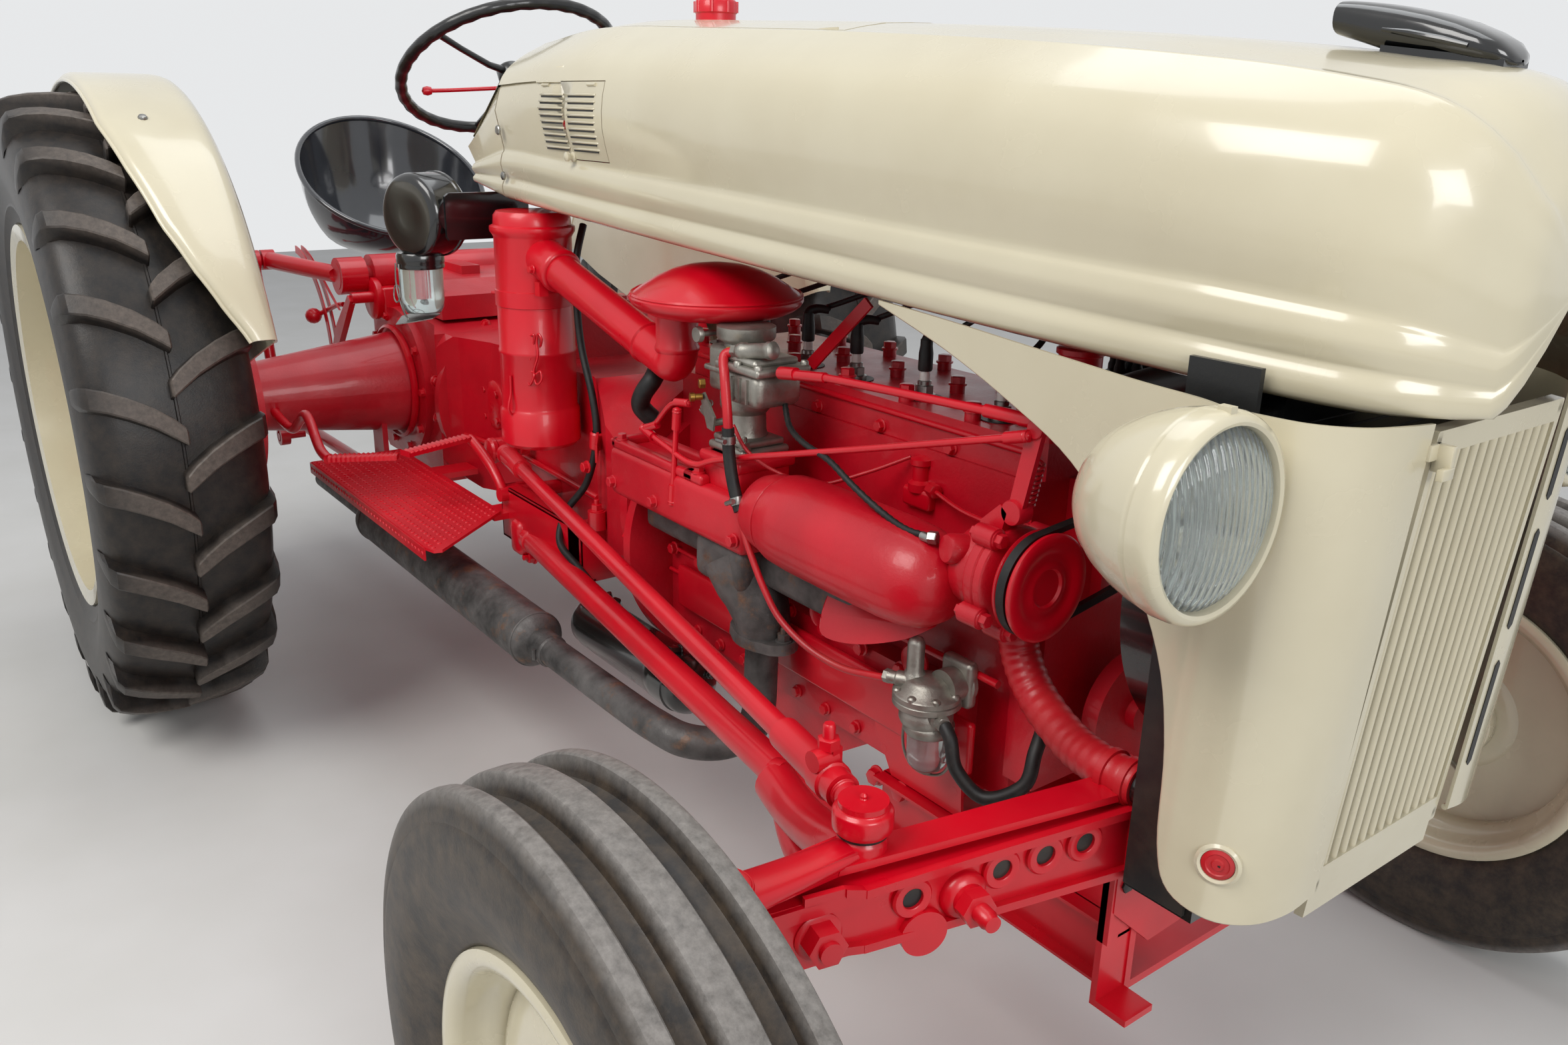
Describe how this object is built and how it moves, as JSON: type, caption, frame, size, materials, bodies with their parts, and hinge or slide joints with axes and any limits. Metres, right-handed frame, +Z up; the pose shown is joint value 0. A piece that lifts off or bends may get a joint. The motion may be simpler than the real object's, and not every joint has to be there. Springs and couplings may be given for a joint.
{
  "type": "vintage farm tractor",
  "caption": "Two-axle row-crop farm tractor with a closed hood, open engine bay, clamshell rear fenders, pan seat and three-point hitch.",
  "frame": {"origin": "on the ground under the middle of the bounding box", "axes": "+X forward along the tractor, +Y to its left, +Z up"},
  "size_m": [3.2328, 1.78, 1.426],
  "materials": {
    "cream_paint": "gloss",
    "red_paint": "gloss",
    "black_paint": "gloss",
    "engine_red": "painted, gloss",
    "exhaust_iron": "dull with rust",
    "grey_casting": "satin",
    "rubber_hose": "matte",
    "tyre_rubber": "dusty",
    "clear_glass": "clear",
    "black_plastic": "gloss"
  },
  "bodies": {
    "chassis": {"transmission_case": "engine_red", "rear_axle_housing": "engine_red", "lift_cover": "engine_red", "engine_block": "engine_red", "cylinder_head": "engine_red", "ignition": "black_plastic", "spark_leads": "rubber_hose", "intake_manifold": "engine_red", "exhaust": "exhaust_iron", "carburettor": "grey_casting", "air_cleaner": "red_paint", "pre_cleaner": "black_paint", "glassware": "clear_glass", "governor": "red_paint", "fuel_pump": "grey_casting", "starter_generator": "black_paint", "radiator": "black_paint", "hoses": "rubber_hose", "control_rods": "red_paint", "front_support": "red_paint", "front_axle": "red_paint", "hood": "cream_paint", "side_panels": "cream_paint", "hood_scoop": "black_paint", "lamps": "cream_paint", "dash": "cream_paint", "steering_column": "black_paint", "fuel_tank": "red_paint", "seat": "black_paint", "fenders": "cream_paint", "running_boards": "red_paint"},
    "grille": {"grille": "cream_paint"},
    "hood_hatch": {"hood_hatch": "cream_paint"},
    "louvre_door": {"louvre_door": "cream_paint"},
    "fan": {"fan": "red_paint"},
    "steering_wheel": {"steering_wheel": "black_plastic"},
    "pitman_right": {"pitman_arm_right": "red_paint"},
    "pitman_left": {"pitman_arm_left": "red_paint"},
    "drag_link_right": {"drag_link_right": "red_paint"},
    "drag_link_left": {"drag_link_left": "red_paint"},
    "spindle_right": {"spindle_right": "red_paint"},
    "spindle_left": {"spindle_left": "red_paint"},
    "front_wheel_right": {"front_wheel_right": "cream_paint", "front_tyre_right": "tyre_rubber"},
    "front_wheel_left": {"front_wheel_left": "cream_paint", "front_tyre_left": "tyre_rubber"},
    "rear_wheel_right": {"rear_wheel_right": "cream_paint", "rear_tyre_right": "tyre_rubber"},
    "rear_wheel_left": {"rear_wheel_left": "cream_paint", "rear_tyre_left": "tyre_rubber"},
    "lift_arms": {"lift_arms": "red_paint"},
    "lift_rods": {"lift_rods": "red_paint"},
    "lower_links": {"lower_links": "red_paint"}
  },
  "joints": [
    {"name": "rear_wheel_right", "type": "hinge", "parent": "chassis", "child": "rear_wheel_right", "pos_m": [-0.775, -0.745, 0.62], "axis": [0, 1, 0], "continuous": true},
    {"name": "rear_wheel_left", "type": "hinge", "parent": "chassis", "child": "rear_wheel_left", "pos_m": [-0.775, 0.745, 0.62], "axis": [0, 1, 0], "continuous": true},
    {"name": "steering", "type": "hinge", "parent": "chassis", "child": "steering_wheel", "pos_m": [-0.455, 0, 1.299], "axis": [-0.5299, 0, 0.848], "range_deg": [-320, 320]},
    {"name": "spindle_right", "type": "hinge", "parent": "chassis", "child": "spindle_right", "pos_m": [1.255, -0.636, 0.53], "axis": [0, 0, 1], "range_deg": [-32, 32]},
    {"name": "spindle_left", "type": "hinge", "parent": "chassis", "child": "spindle_left", "pos_m": [1.255, 0.636, 0.53], "axis": [0, 0, 1], "range_deg": [-32, 32]},
    {"name": "front_wheel_right", "type": "hinge", "parent": "spindle_right", "child": "front_wheel_right", "pos_m": [1.255, -0.753, 0.362], "axis": [0, 1, 0], "continuous": true},
    {"name": "front_wheel_left", "type": "hinge", "parent": "spindle_left", "child": "front_wheel_left", "pos_m": [1.255, 0.753, 0.362], "axis": [0, 1, 0], "continuous": true},
    {"name": "pitman_right", "type": "hinge", "parent": "chassis", "child": "pitman_right", "pos_m": [-0.199, -0.128, 0.829], "axis": [0, 1, 0], "range_deg": [-30, 30]},
    {"name": "pitman_left", "type": "hinge", "parent": "chassis", "child": "pitman_left", "pos_m": [-0.199, 0.128, 0.829], "axis": [0, 1, 0], "range_deg": [-30, 30]},
    {"name": "drag_link_right", "type": "hinge", "parent": "pitman_right", "child": "drag_link_right", "pos_m": [-0.199, -0.175, 0.589], "axis": [0, 1, 0], "range_deg": [-30, 30]},
    {"name": "drag_link_left", "type": "hinge", "parent": "pitman_left", "child": "drag_link_left", "pos_m": [-0.199, 0.175, 0.589], "axis": [0, 1, 0], "range_deg": [-30, 30]},
    {"name": "fan_spin", "type": "hinge", "parent": "chassis", "child": "fan", "pos_m": [1.285, 0, 0.79], "axis": [1, 0, 0], "continuous": true},
    {"name": "grille_tilt", "type": "hinge", "parent": "chassis", "child": "grille", "pos_m": [1.497, 0, 0.506], "axis": [0, 1, 0], "range_deg": [0, 70]},
    {"name": "hatch_lid", "type": "hinge", "parent": "chassis", "child": "hood_hatch", "pos_m": [0.773, 0, 1.338], "axis": [0, 1, 0], "range_deg": [0, 95]},
    {"name": "louvre_door", "type": "hinge", "parent": "chassis", "child": "louvre_door", "pos_m": [0.244, -0.237, 1.265], "axis": [-1, 0, 0], "range_deg": [0, 110]},
    {"name": "lift", "type": "hinge", "parent": "chassis", "child": "lift_arms", "pos_m": [-0.895, 0, 0.85], "axis": [0, 1, 0], "range_deg": [-25, 25]},
    {"name": "lift_rods", "type": "hinge", "parent": "lift_arms", "child": "lift_rods", "pos_m": [-1.16463, 0, 0.86413], "axis": [0, 1, 0], "range_deg": [-25, 25]},
    {"name": "lower_links", "type": "hinge", "parent": "chassis", "child": "lower_links", "pos_m": [-0.735, 0, 0.43], "axis": [0, 1, 0], "range_deg": [-25, 25]}
  ],
  "couplings": [
    {"joint": "spindle_right", "follows": "steering", "ratio": 0.1},
    {"joint": "spindle_left", "follows": "steering", "ratio": 0.1},
    {"joint": "pitman_right", "follows": "steering", "ratio": 0.06625},
    {"joint": "pitman_left", "follows": "steering", "ratio": -0.06625},
    {"joint": "drag_link_right", "follows": "steering", "ratio": -0.06625},
    {"joint": "drag_link_left", "follows": "steering", "ratio": 0.06625},
    {"joint": "lift_rods", "follows": "lift", "ratio": -1},
    {"joint": "lower_links", "follows": "lift", "ratio": 0.79}
  ]
}
